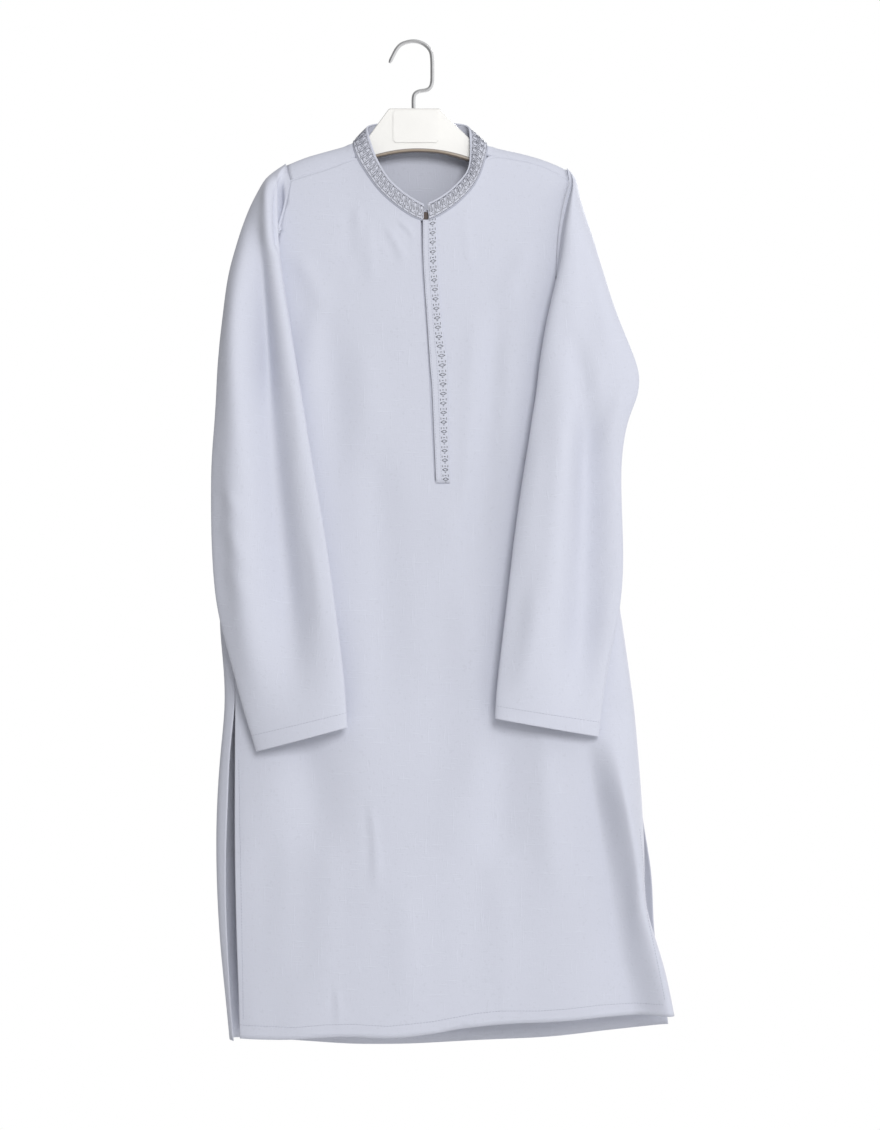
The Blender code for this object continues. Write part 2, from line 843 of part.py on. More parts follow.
def back_columns(neck_x, neck_over, starts):
    """The top of each column of the back panel, on the front side of the shoulder line."""
    left, right = Armhole("left"), Armhole("right")
    a, b = starts[LEFT_SEAM_ROW], starts[RIGHT_SEAM_ROW]
    first = left.points(np.array([left.seam]))[0]
    last = right.points(np.array([right.seam]))[0]
    shoulder_left = np.linspace(first[0], neck_x[a], SHOULDER_COLUMNS + 1)[:-1]
    shoulder_right = np.linspace(neck_x[b], last[0], SHOULDER_COLUMNS + 1)[1:]
    x = np.concatenate([shoulder_left, neck_x[a:b + 1], shoulder_right])
    over = np.concatenate([-over_of(seam_drop(shoulder_left)), neck_over[a:b + 1],
                           -over_of(seam_drop(shoulder_right))])
    spread = x.copy()
    ahead = np.flatnonzero(neck_over[a:b + 1] < 0) + SHOULDER_COLUMNS
    middle = len(x) / 2
    for columns, outward in ((ahead[ahead < middle][::-1], -1), (ahead[ahead > middle], 1)):
        start = x[columns[0] - outward]
        spread[columns] = start + outward * NECK_SPREAD * np.arange(1, len(columns) + 1)
    return x, over, spread


def collar_grid(neck):
    """The band collar's outside, from its upper edge down to the neck edge."""
    x, over, top, _ = neck
    height = shoulder(x) - drop_of(over)
    side = np.where(over < 0, -1, 1)
    low = np.stack([x, cloth_at(x, height, side), height], axis=-1)
    end = low[0] + np.array([LEFT_COLLAR_END, 0, 0.7])
    end_top = top[0] + np.array([LEFT_COLLAR_END - 0.6, 0, -0.5])
    low = np.concatenate([[end], low])
    top = np.concatenate([[end_top], top])
    shares = np.linspace(0, 1, COLLAR_ROWS)[:, None, None]
    grid = top[None] + (low - top)[None] * shares
    return grid + grid_normals(grid, True) * np.sin(np.pi * shares) * COLLAR_BULGE


def cloth_at_neck(neck):
    """Both panels' points and outward directions and the collar's, which agree along the
    seams they share. Fixed columns of the front are given too."""
    x, over, fixed = front_columns(neck[0], neck[1], neck[3])
    front = panel_grid(-1, x, over, x, fixed)
    back = panel_grid(1, *back_columns(neck[0], neck[1], neck[3]))
    collar = collar_grid(neck)
    front_out, back_out = outward(front), outward(back)
    collar_out = grid_normals(collar, True)
    a, b, count = neck[3][LEFT_SEAM_ROW], neck[3][RIGHT_SEAM_ROW], len(neck[0])
    at_left = SHOULDER_COLUMNS + np.arange(a + 1)
    at_right = front.shape[1] - 1 - SHOULDER_COLUMNS - np.arange(count - b)
    at_back = SHOULDER_COLUMNS + np.arange(b - a + 1)
    shared = collar_out[-1, 1:].copy()
    shared[a::-1] += front_out[0, at_left]
    shared[b:] += front_out[0, at_right]
    shared[a:b + 1] += back_out[0, at_back]
    shared = unit(shared)
    collar_out[-1, 1:] = shared
    front_out[0, at_left] = shared[a::-1]
    front_out[0, at_right] = shared[b:]
    back_out[0, at_back] = shared[a:b + 1]
    half = SEAM_GAP / 2
    front = drawn_in(front, top=half, first=half, last=half)
    back = drawn_in(back, top=half, first=half, last=half)
    collar = drawn_in(collar + collar_out * COLLAR_PROUD, bottom=COLLAR_GAP)
    return (front, front_out), (back, back_out), (collar, collar_out), fixed


def make_front(panel, fixed, finish):
    """The front panel, and the strips that lie on it and behind it at the placket."""
    grid, normals = panel
    slit = fixed[1][0]
    foot_row = FRONT_YOKE_ROWS + 2
    open_faces = {(r, slit) for r in range(foot_row)}
    wall("front", grid, normals, WALL, finish, open_faces=open_faces)

    rows = np.s_[:foot_row + 1]
    strip = np.s_[fixed[2][0]:fixed[4][0] + 1]
    out = normals[rows, strip]
    outer = grid[rows, strip] + out * (LIE_GAP + STRIP_WALL)
    outer[0] += unit(outer[1] - outer[0]) * SEAM_GAP
    wall("placket_overlap", outer, out, STRIP_WALL, finish)

    lap = np.s_[fixed[0][0]:fixed[4][0]]
    out = normals[rows, lap]
    back = grid[rows, lap].copy()
    back = np.concatenate([back[:1] + unit(back[:1] - back[1:2]) * UNDERLAP_RISE, back])
    out = np.concatenate([out[:1], out])
    set_back = UNDERLAP_SET_BACK * ease(1 - np.arange(len(back)) / 3.0)
    outer = back - out * (WALL + LIE_GAP + set_back)[:, None, None]
    wall("placket_underlap", outer, out, STRIP_WALL, finish)
    return outer


def sleeve_row(section, height, starts, ends):
    """One level row of a sleeve: from where it leaves the armhole's front, in to the sleeve's
    inner fold, across the front to its outer fold and back to the armhole's rear."""
    turns = np.linspace(-math.pi / 2, 1.5 * math.pi, TOP_PARTS * TOP_SEGMENTS - 1)[1:-1]
    before, after = turns < 0, turns > math.pi
    share = (1 - np.cos(np.clip(turns, 0, math.pi))) / 2
    x = section["in_x"] + (section["out_x"] - section["in_x"]) * share
    middle = section["in_y"] + (section["out_y"] - section["in_y"]) * share
    y = middle - section["thick"] / 2 * np.sin(turns)
    round_it = section["thick"] / 2
    for part, fold, end, gone in ((before, "in", starts, 1 - np.cos(turns)),
                                  (after, "out", ends, 1 + np.cos(turns))):
        fold_x, fold_y = section[fold + "_x"], section[fold + "_y"]
        bent = fold_y + (end[1] - round_it - fold_y) * gone - round_it * np.sin(turns)
        x = np.where(part, fold_x + (end[0] - fold_x) * gone, x)
        y = np.where(part, bent, y)
    half = (section["out_x"] - section["in_x"]) / 2
    lean = section["tilt"] * (x - section["in_x"] - half) / half
    along = (turns + math.pi / 2) / (2 * math.pi)
    z = height[0] + (height[1] - height[0]) * along + lean
    return np.stack([x, y, z], axis=-1)


def clear_of_body(points, armhole):
    """The points moved forward where they would touch the front of the body."""
    x, y, z = points[..., 0], points[..., 1], points[..., 2]
    middle, half = sides(z)
    edge = np.where(z > UNDERARM, armhole.x(z), middle + half * armhole.outward)
    beyond = (x - edge) * armhole.outward
    nearest = np.where(beyond > 0, edge, x)
    front = cloth_at(nearest, z, -1) - SLEEVE_CLEARANCE + EDGE_SLOPE * np.maximum(beyond, 0)
    return np.stack([x, np.minimum(y, front), z], axis=-1)


def sleeve_head(edge, body_out, away, target):
    """The first two points of a sleeve's cloth at places on the armhole, and the outward
    direction of the first. The cloth sets off flat over the armhole's edge, or stands up from
    it where the sleeve turns back over the body."""
    flat = (unit(target - edge) * away).sum(-1)
    stands = ease((STAND_BELOW - flat) / STAND_BELOW)[:, None]
    first = edge + body_out * (LIE_GAP + WALL * (1 - stands))
    second = first + body_out * HEAD_RISE * stands + away * HEAD_REACH * (1 - stands)
    return first, second, unit(body_out * (1 - stands) - away * stands)


def split(points, parts):
    """The points, with every step between two of them cut into equal parts."""
    count = len(points)
    at = np.linspace(0, count - 1, (count - 1) * parts + 1)
    return np.stack([np.interp(at, np.arange(count), column) for column in points.T], axis=-1)


def sleeve_side(edge, body_out, away, target):
    """One side of the sleeve's opening, with two extra places close under its upper end."""
    def with_extra(points):
        extra = [points[0] * (1 - share) + points[1] * share for share in TOP_SHARES]
        return np.concatenate([points[:1], extra, points[1:]])

    return sleeve_head(with_extra(edge), unit(with_extra(body_out)), unit(with_extra(away)),
                       with_extra(target))


def make_sleeve(name, armhole, shape, flip, finish):
    """A sleeve, open at the armhole and at the cuff. Its upper rows run from the armhole's
    front to its rear, and from the underarm down they close round the sleeve."""
    outward_x = armhole.outward
    front_turns, back_turns = armhole.turns(-1), armhole.turns(1)[::-1][:-1]
    loop = armhole.points(np.concatenate([front_turns, back_turns[1:]]))
    body_out = outward(loop)
    along = np.roll(loop, -1, axis=0) - np.roll(loop, 1, axis=0)
    away = unit(np.cross(along, body_out)) * -outward_x

    def section_at(height):
        return {key: float(smooth(height, shape["height"], column))
                for key, column in shape.items() if key != "height"}

    def folds(points, which):
        sections = [section_at(z) for z in points[:, 2]]
        return np.array([(s[which + "_x"], s[which + "_y"], z)
                         for s, z in zip(sections, points[:, 2])])

    under = len(front_turns) - 1
    last = len(loop) - TOP_SEGMENTS
    down_front = np.arange(under + 1)
    down_back = np.arange(last, under - 1, -1)
    top = np.concatenate([[0], np.arange(len(loop) - 1, last - 1, -1)])
    front_side = sleeve_side(loop[down_front], body_out[down_front], away[down_front],
                             folds(loop[down_front], "in"))
    back_side = sleeve_side(loop[down_back], body_out[down_back], away[down_back],
                            folds(loop[down_back], "out"))
    top_edge, top_out, top_away = (split(v[top], TOP_PARTS) for v in (loop, body_out, away))
    top_row = sleeve_head(top_edge, unit(top_out), unit(top_away), top_edge + top_away)

    rows = [top_row[0], top_row[1].copy()]
    rows[1][0], rows[1][-1] = front_side[0][1], back_side[0][1]
    for k in range(3, under + 2):
        starts, ends = front_side[1][k], back_side[1][k]
        height = (starts[2], ends[2])
        row = sleeve_row(section_at(sum(height) / 2), height, starts, ends)
        turned_in = np.arange(len(row)) < len(row) / 2
        row = np.where(turned_in[:, None], clear_of_body(row, armhole), row)
        rows.append(np.concatenate([[front_side[0][k], starts], row, [ends, back_side[0][k]]]))
    cap = (rows[1] + rows[2]) / 2
    cap[2:-2] += np.array([outward_x, 0, 1]) * CAP_BULGE
    cap[0], cap[1] = front_side[0][2], front_side[1][2]
    cap[-2], cap[-1] = back_side[1][2], back_side[0][2]
    rows.insert(2, cap)
    seam = (front_side[0][-1] + back_side[0][-1]) / 2
    pass_by = seam + np.array([PASS_UNDERARM * outward_x, 0, 0])
    foot = shape["height"][-1]
    for level in (0.0,) + SLEEVE_LEVELS:
        height = seam[2] + (foot - seam[2]) * level
        section = section_at(height)
        middle_x = (section["in_x"] + section["out_x"]) / 2
        middle_y = (section["in_y"] + section["out_y"] + section["thick"]) / 2
        share = float(ease(level / PASS_LEVELS))
        by = pass_by if level else seam
        turn_x = by[0] + (middle_x - by[0]) * share
        turn_y = by[1] + (middle_y - by[1]) * share
        row = sleeve_row(section, (height, height), (turn_x, turn_y), (turn_x, turn_y))
        half = (section["out_x"] - section["in_x"]) / 2
        lean = section["tilt"] * (turn_x - section["in_x"] - half) / half
        turn = np.array([turn_x, turn_y, height + lean])
        close = [turn + (beside - turn) * CLOSE_SHARE for beside in (row[0], row[-1])]
        row = clear_of_body(np.concatenate([[turn, close[0]], row, [close[1], turn]]), armhole)
        if level == 0:
            row[0] = row[-1] = seam
            row[1] = seam + np.array([UNDERARM_TURN[0] * outward_x, UNDERARM_TURN[1], 0])
        rows.append(row)
    grid = np.array(rows)
    closed_from = under + 2
    normals = tube_normals(grid, flip, closed_from)
    normals[0] = top_row[2]
    normals[1:closed_from, 0] = front_side[2][1:-1]
    normals[1:closed_from, -1] = back_side[2][1:-1]
    wall(name, grid, normals, WALL, finish, flip=flip, closed_from=closed_from)


def make_button(underlap, finish):
    """The small dark button behind the collar's notch, seated on the underlap."""
    seat = underlap[0:2, 1:].reshape(-1, 3)
    y = float(seat[:, 1].min()) - LIE_GAP - BUTTON_THICK / 2
    mesh = bmesh.new()
    bmesh.ops.create_cone(mesh, cap_ends=True, segments=24, radius1=BUTTON_RADIUS * MM,
                          radius2=BUTTON_RADIUS * MM, depth=BUTTON_THICK * MM)
    data = bpy.data.meshes.new("collar_button")
    mesh.to_mesh(data)
    mesh.free()
    button = placed("collar_button", data, finish)
    button.location = (BUTTON_X * MM, y * MM, BUTTON_HEIGHT * MM)
    button.rotation_euler = (math.radians(90), 0, 0)
    edge = button.modifiers.new("edge", "BEVEL")
    edge.width = 0.5 * MM
    edge.segments = 2


def hanger_top(x):
    """The hanger's upper edge: shaped over the neck, and just under the cloth beyond it."""
    neck = np.interp(x, HANGER_NECK["x"], HANGER_NECK["top"])
    arm = shoulder(x) - HANGER_CLEARANCE
    inside = (x >= HANGER_NECK["x"][0]) & (x <= HANGER_NECK["x"][-1])
    return np.where(inside, neck, arm)


def make_hanger(finish):
    """The hanger's neck and arms, as one rounded board that follows the shoulders."""
    stations = np.array(HANGER_STATIONS, float)
    rings = []
    for k, x in enumerate(stations):
        tip = k in (0, len(stations) - 1)
        top, low = float(hanger_top(x)), float(smooth(x, HANGER_FOOT["x"], HANGER_FOOT["low"]))
        over_neck = HANGER_NECK["x"][1] <= x <= HANGER_NECK["x"][-2]
        corner = NECK_CORNER if over_neck else ARM_CORNER
        half = HANGER_HALF * (TIP_SHRINK if tip else 1)
        if tip:
            top, low = top - 3, low + 3
        across = list(zip(CORNER["across"] * half, CORNER["down"]))
        upper = [(y, top - down * corner) for y, down in across]
        lower = [(y, low + down * NECK_CORNER) for y, down in across[::-1]]
        right = upper + lower
        ring = right + [(-y, z) for y, z in right[::-1] if y > 0]
        rings.append([(x, y, z) for y, z in ring])
    grid = np.array(rings)
    mesh = bmesh.new()
    verts = [[mesh.verts.new([float(v) * MM for v in p]) for p in ring] for ring in grid]
    count = grid.shape[1]
    for a, b in zip(verts, verts[1:]):
        for c in range(count):
            mesh.faces.new([a[c], b[c], b[(c + 1) % count], a[(c + 1) % count]])
    mesh.faces.new(verts[0])
    mesh.faces.new(verts[-1][::-1])
    bmesh.ops.recalc_face_normals(mesh, faces=mesh.faces)
    data = bpy.data.meshes.new("hanger")
    mesh.to_mesh(data)
    mesh.free()
    return placed("hanger", data, finish)


def make_plate(finish):
    """The thin bare plate on the front of the hanger's neck."""
    mesh = bmesh.new()
    bmesh.ops.create_cube(mesh, size=1)
    size = (PLATE_RIGHT - PLATE_LEFT, PLATE_THICK, PLATE_TOP - PLATE_LOW)
    bmesh.ops.scale(mesh, vec=[v * MM for v in size], verts=mesh.verts)
    upright = [e for e in mesh.edges if abs(e.verts[0].co.y - e.verts[1].co.y) > PLATE_THICK * MM / 2]
    bmesh.ops.bevel(mesh, geom=upright, offset=PLATE_CORNER * MM, segments=3, affect="EDGES")
    data = bpy.data.meshes.new("hanger_plate")
    mesh.to_mesh(data)
    mesh.free()
    plate = placed("hanger_plate", data, finish)
    y = -HANGER_HALF - LIE_GAP - PLATE_THICK / 2
    middle = ((PLATE_LEFT + PLATE_RIGHT) / 2, y, (PLATE_TOP + PLATE_LOW) / 2)
    plate.location = [v * MM for v in middle]


def make_hook(finish):
    """The bent steel rod, with a rounded tip."""
    count = len(HOOK_LINE["x"])
    at = np.linspace(0, count - 1, HOOK_POINTS)
    x = smooth(at, np.arange(count), HOOK_LINE["x"])
    z = smooth(at, np.arange(count), HOOK_LINE["height"])
    curve = bpy.data.curves.new("hook", "CURVE")
    curve.dimensions = "3D"
    curve.bevel_depth = ROD_RADIUS * MM
    curve.bevel_resolution = 2
    curve.use_fill_caps = True
    line = curve.splines.new("POLY")
    line.points.add(HOOK_POINTS - 1)
    for k in range(HOOK_POINTS):
        line.points[k].co = (float(x[k]) * MM, 0, float(z[k]) * MM, 1)
        line.points[k].radius = 1.0 if k > 0 else 0.6
    curve.materials.append(finish)
    hook = bpy.data.objects.new("hook", curve)
    bpy.context.collection.objects.link(hook)


for old in list(bpy.data.objects):
    bpy.data.objects.remove(old)

lavender = material("lavender_cloth", (0.60, 0.62, 0.70), 0.8)
ivory = material("ivory_gloss", (0.86, 0.82, 0.72), 0.25)
steel = material("bright_steel", (0.75, 0.75, 0.76), 0.12, 1.0)
horn = material("brown_button", (0.10, 0.05, 0.03), 0.4)

front_panel, back_panel, collar_band, fixed_columns = cloth_at_neck(neck_edge())
underlap_grid = make_front(front_panel, fixed_columns, lavender)
wall("back", *back_panel, WALL, lavender, flip=True)
wall("collar", *collar_band, COLLAR_WALL, lavender, flip=True)
make_sleeve("sleeve_left", Armhole("left"), LEFT_SLEEVE, True, lavender)
make_sleeve("sleeve_right", Armhole("right"), RIGHT_SLEEVE, False, lavender)
make_button(underlap_grid, horn)
make_hanger(ivory)
make_plate(ivory)
make_hook(steel)
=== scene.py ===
"""The kurta on its hanger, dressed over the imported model. Sizes are in metres."""

import math
import random

import bmesh
import bpy
import numpy as np
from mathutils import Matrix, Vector
from mathutils.bvhtree import BVHTree


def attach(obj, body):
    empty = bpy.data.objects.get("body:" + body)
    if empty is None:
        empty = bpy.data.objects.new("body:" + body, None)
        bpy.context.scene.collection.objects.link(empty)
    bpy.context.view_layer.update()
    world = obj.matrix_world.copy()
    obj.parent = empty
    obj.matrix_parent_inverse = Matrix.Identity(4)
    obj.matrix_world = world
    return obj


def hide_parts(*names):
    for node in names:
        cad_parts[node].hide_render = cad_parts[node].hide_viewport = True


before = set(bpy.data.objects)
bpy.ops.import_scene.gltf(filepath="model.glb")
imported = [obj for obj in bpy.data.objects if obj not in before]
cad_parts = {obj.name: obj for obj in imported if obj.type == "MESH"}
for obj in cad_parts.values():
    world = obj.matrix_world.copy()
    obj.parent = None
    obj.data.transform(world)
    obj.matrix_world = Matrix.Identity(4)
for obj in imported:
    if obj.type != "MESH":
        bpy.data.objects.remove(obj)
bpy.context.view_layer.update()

# The studio: a camera level with the middle of the garment, a white room that is brighter on
# the right, a wide soft lamp high in front, a weaker one behind for the other side, and a plain
# pale floor below the hem.
camera = bpy.data.objects.new("camera", bpy.data.cameras.new("camera"))
camera.location = (0.0313, -3.1, -0.606)
camera.rotation_euler = (math.radians(90), 0, 0)
camera.data.lens = 85
camera.data.sensor_width = camera.data.sensor_height = 36
camera.data.sensor_fit = "VERTICAL"
bpy.context.collection.objects.link(camera)
bpy.context.scene.camera = camera

GARMENT_MIDDLE = Vector((0, 0, -0.55))
for name, place, power in (("lamp", (0.9, -4.0, 1.05), 97),
                           ("lamp_behind", (1.2, 3.4, 0.9), 90)):
    lamp = bpy.data.objects.new(name, bpy.data.lights.new(name, "AREA"))
    lamp.data.size = 1.5
    lamp.data.energy = power
    lamp.location = place
    aim = lamp.location - GARMENT_MIDDLE
    lamp.rotation_euler = aim.to_track_quat("Z", "Y").to_euler()
    bpy.context.collection.objects.link(lamp)

room = bpy.data.worlds.new("room")
bpy.context.scene.world = room
room.use_nodes = True
wires = room.node_tree
facing = wires.nodes.new("ShaderNodeTexCoord")
axes = wires.nodes.new("ShaderNodeSeparateXYZ")
share = wires.nodes.new("ShaderNodeMapRange")
for socket, value in (("From Min", -0.8), ("From Max", 0.8), ("To Min", 0.22), ("To Max", 0.93)):
    share.inputs[socket].default_value = value
wires.links.new(facing.outputs["Generated"], axes.inputs["Vector"])
wires.links.new(axes.outputs["X"], share.inputs["Value"])
seen_directly = wires.nodes.new("ShaderNodeLightPath")
brighter = wires.nodes.new("ShaderNodeMath")
brighter.operation = "MAXIMUM"
wires.links.new(share.outputs["Result"], brighter.inputs[0])
wires.links.new(seen_directly.outputs["Is Camera Ray"], brighter.inputs[1])
wires.nodes["Background"].inputs["Color"].default_value = (1, 1, 1, 1)
wires.links.new(brighter.outputs[0], wires.nodes["Background"].inputs["Strength"])
bpy.context.scene.view_settings.view_transform = "Standard"

FLOOR_HEIGHT = -1.55
FLOOR_CORNERS = ((-1.7, -2.0), (1.7, -2.0), (1.7, 1.25), (-1.7, 1.25))
plane = bpy.data.meshes.new("floor")
plane.from_pydata([(x, y, FLOOR_HEIGHT) for x, y in FLOOR_CORNERS], [], [(0, 1, 2, 3)])
paint = bpy.data.materials.new("floor")
paint.use_nodes = True
paint.node_tree.nodes["Principled BSDF"].inputs["Base Color"].default_value = (0.8, 0.8, 0.8, 1)
paint.node_tree.nodes["Principled BSDF"].inputs["Roughness"].default_value = 1.0
plane.materials.append(paint)
floor = bpy.data.objects.new("floor", plane)
bpy.context.collection.objects.link(floor)


# The front panel: one piece of pale lilac cotton in plain weave, slit down the middle, joined
# to the back at the forward shoulder seams and the sides. Its hem is turned up and stitched.
class Shade:
    """One value in a material's nodes, so that maths on it reads as maths."""

    def __init__(self, tree, out):
        self.tree, self.out = tree, out

    def node(self, kind, settings=None, result=0, **sockets):
        """A node of a kind. Sockets are named, or numbered as in i0."""
        made = self.tree.nodes.new("ShaderNode" + kind)
        for name, value in (settings or {}).items():
            if name == "stops":
                for stop, (at, level) in zip(made.color_ramp.elements, value):
                    stop.position, stop.color = at, (level, level, level, 1)
            else:
                setattr(made, name, value)
        for name, value in sockets.items():
            key = int(name[1:]) if name[1:].isdigit() else name.replace("_", " ")
            if isinstance(value, Shade):
                self.tree.links.new(value.out, made.inputs[key])
            else:
                made.inputs[key].default_value = value
        return Shade(self.tree, made.outputs[result])

    def maths(self, operation, first, second=0.0):
        return self.node("Math", {"operation": operation}, i0=first, i1=second)

    def __add__(self, other):
        return self.maths("ADD", self, other)

    def __sub__(self, other):
        return self.maths("SUBTRACT", self, other)

    def __rsub__(self, other):
        return self.maths("SUBTRACT", other, self)

    def __mul__(self, other):
        return self.maths("MULTIPLY", self, other)

    __radd__, __rmul__ = __add__, __mul__

    def between(self, low, high):
        """0 below low and 1 above high, soft between them."""
        return self.node("MapRange", {"interpolation_type": "SMOOTHSTEP"}, Value=self,
                         From_Min=low, From_Max=high)

    def noise(self, stretch, detail=2.0, rough=0.5):
        """Noise on a place, with a number of grains to the metre along each axis."""
        place = self.node("VectorMath", {"operation": "MULTIPLY"}, i0=self, i1=stretch)
        return self.node("TexNoise", Vector=place, Scale=1.0, Detail=detail, Roughness=rough)

    def mixed(self, first, second):
        """A colour between two, by this value."""
        return self.node("Mix", {"data_type": "RGBA"}, result=2, i0=self,
                         i6=first, i7=second)


def material(name, roughness, **values):
    """A new material, its shader, and the place on the object."""
    made = bpy.data.materials.new(name)
    made.use_nodes = True
    shader = made.node_tree.nodes["Principled BSDF"]
    shader.inputs["Roughness"].default_value = roughness
    for key, value in values.items():
        shader.inputs[key.replace("_", " ")].default_value = value
    at = Shade(made.node_tree, made.node_tree.nodes.new("ShaderNodeTexCoord").outputs["Object"])
    return made, shader, at


LILAC = (0.575, 0.592, 0.675)


def lilac_cloth(name, lean=0.0):
    """Pale lilac plain weave with small slubs: fine threads both ways, here and there a thicker
    one, and a faint unevenness of the dye. Lean turns the weave with its piece."""
    made, shader, at = material(name, 0.78, Sheen_Weight=0.22, Sheen_Roughness=0.45,
                                Specular_IOR_Level=0.25)
    at = at.node("VectorRotate", {"rotation_type": "Y_AXIS"}, Vector=at, Angle=lean)
    warp = at.noise((1150, 1150, 150))
    weft = at.noise((150, 150, 1150))
    cloudy = at.noise((7, 7, 7), 3.0)
    long_slub = at.noise((420, 420, 34), 1.0).between(0.66, 0.74)
    cross_slub = at.noise((34, 34, 420), 1.0).between(0.66, 0.74)
    fleck = at.noise((330, 330, 330), 0.0).between(0.70, 0.78)
    threads = (warp + weft) * 0.5
    light = threads * 0.16 + cloudy * 0.10 + (long_slub + cross_slub) * 0.05 - fleck * 0.09 - 0.08
    low, high = [tuple(v * share for v in LILAC) + (1,) for share in (0.86, 1.14)]
    colour = (light * 1.6 + 0.45).mixed(low, high)
    made.node_tree.links.new(colour.out, shader.inputs["Base Color"])
    rough = 0.70 + threads * 0.2 - (long_slub + cross_slub) * 0.08
    made.node_tree.links.new(rough.out, shader.inputs["Roughness"])
    height = threads + (long_slub + cross_slub) * 0.5
    relief = at.node("Bump", Height=height, Strength=0.35, Distance=0.00045)
    made.node_tree.links.new(relief.out, shader.inputs["Normal"])
    return made


WALL = 0.0016


def outside(node, wall):
    """The outside layer of a cloth node's wall, as squares. The rim of the wall has the only
    edges that are as long as the cloth is thick."""
    mesh = bmesh.new()
    mesh.from_mesh(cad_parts[node].data)
    bmesh.ops.remove_doubles(mesh, verts=mesh.verts, dist=1e-5)
    across = [e for e in mesh.edges if abs(e.calc_length() - wall) < 2e-6]
    rim = {face for edge in across for face in edge.link_faces}
    bmesh.ops.delete(mesh, geom=list(rim), context="FACES")
    layers, seen = [], set()
    for start in mesh.faces:
        if start in seen:
            continue
        seen.add(start)
        layer, waiting = [], [start]
        while waiting:
            face = waiting.pop()
            layer.append(face)
            near = {other for edge in face.edges for other in edge.link_faces} - seen
            seen |= near
            waiting.extend(near)
        layers.append(layer)
    layers.sort(key=lambda layer: facing_out(layer, node))
    inner = [face for layer in layers[:-1] for face in layer]
    bmesh.ops.delete(mesh, geom=inner, context="FACES")
    loose = [v for v in mesh.verts if not v.link_faces]
    bmesh.ops.delete(mesh, geom=loose, context="VERTS")
    bmesh.ops.join_triangles(mesh, faces=mesh.faces[:], angle_face_threshold=3.0,
                             angle_shape_threshold=3.0)
    return mesh


def facing_out(layer, node):
    """How far a layer faces away from the middle of its garment, or of its own tube."""
    middles = np.array([face.calc_center_median() for face in layer])
    ways = np.array([face.normal * face.calc_area() for face in layer])
    own = node.startswith(("sleeve", "collar"))
    centre = middles.mean(0) if own else np.array([middles[:, 0].mean(), 0, middles[:, 2].mean()])
    return float(((middles - centre) * ways).sum())


def smoothed(name, mesh, levels):
    """A finer, smooth copy of a mesh that keeps its open edges."""
    data = bpy.data.meshes.new(name)
    mesh.to_mesh(data)
    mesh.free()
    rough = bpy.data.objects.new(name, data)
    bpy.context.collection.objects.link(rough)
    finer = rough.modifiers.new("finer", "SUBSURF")
    finer.levels = finer.render_levels = levels
    finer.boundary_smooth = "PRESERVE_CORNERS"
    bpy.context.view_layer.update()
    shown = rough.evaluated_get(bpy.context.evaluated_depsgraph_get())
    fine = bpy.data.meshes.new_from_object(shown)
    bpy.data.objects.remove(rough)
    fine.name = name
    return fine


def read(mesh):
    """A mesh's points and their directions."""
    at = np.empty(len(mesh.vertices) * 3)
    mesh.vertices.foreach_get("co", at)
    out = np.empty(len(mesh.vertices) * 3)
    mesh.vertex_normals.foreach_get("vector", out)
    return at.reshape(-1, 3), out.reshape(-1, 3)


def ease(share):
    share = np.clip(share, 0, 1)
    return share * share * (3 - 2 * share)


def creased(mesh, side, rows, seams=0.006, held=None):
    """Lays listed creases on one side of a piece. A row is a line from x, z to x, z, how far
    it bows sideways, how far it stands out, and its width, all in millimetres. The cloth stays
    where it is at its sewn edges, and where held is 0."""
    at, out = read(mesh)
    shown = ease(out[:, 1] * side * 3)
    moved = np.zeros(len(at))
    for x0, z0, x1, z1, bow, height, width in rows:
        a, b = np.array([x0, z0]) / 1000, np.array([x1, z1]) / 1000
        length = np.linalg.norm(b - a)
        along = (b - a) / length
        away = at[:, [0, 2]] - a
        share = away @ along / length
        beside = away @ np.array([-along[1], along[0]])
        beside = beside - 4 * bow / 1000 * share * (1 - share)
        within = ease(np.minimum(share, 1 - share) * 3.2)
        wide = width / 1000 * (0.6 + 0.5 * share)
        ridge = np.exp(-(beside / wide) ** 2)
        ridge -= 0.45 * np.exp(-((beside + 1.7 * wide) / (1.2 * wide)) ** 2)
        moved += height / 1000 * ridge * within
    kept = edge_fade(mesh, at, seams)
    if held:
        kept *= held(at)
    at += out * (moved * shown * kept)[:, None]
    mesh.vertices.foreach_set("co", at.ravel())
    mesh.update()


def edge_fade(mesh, at, seams):
    """0 at the open edges of a mesh and 1 from a little way inside them."""
    uses = {}
    for polygon in mesh.polygons:
        for key in polygon.edge_keys:
            uses[key] = uses.get(key, 0) + 1
    edge = sorted({v for key, count in uses.items() if count == 1 for v in key})
    tree = BVHTree.FromPolygons([tuple(at[v]) for v in edge],
                                [(k, k, k) for k in range(len(edge))])
    fade = np.ones(len(at))
    for k, point in enumerate(at):
        found = tree.find_nearest(Vector(point), seams * 3)
        if found[0] is not None:
            fade[k] = found[3] / (seams * 3)
    return ease(fade)


def shell(name, mesh, finish, thick=0.0007):
    """A piece of thin cloth with real thickness, inward of its outside layer."""
    made = bpy.data.objects.new(name, mesh)
    bpy.context.collection.objects.link(made)
    mesh.materials.clear()
    mesh.materials.append(finish)
    mesh.shade_smooth()
    solid = made.modifiers.new("cloth", "SOLIDIFY")
    solid.thickness = thick
    solid.offset = -1
    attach(made, "root")
    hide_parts(name.replace("_cloth", ""))
    return made


def surface(mesh):
    """A piece's outside, to lay stitches on."""
    at, _ = read(mesh)
    return BVHTree.FromPolygons([tuple(v) for v in at], [tuple(p.vertices) for p in mesh.polygons])


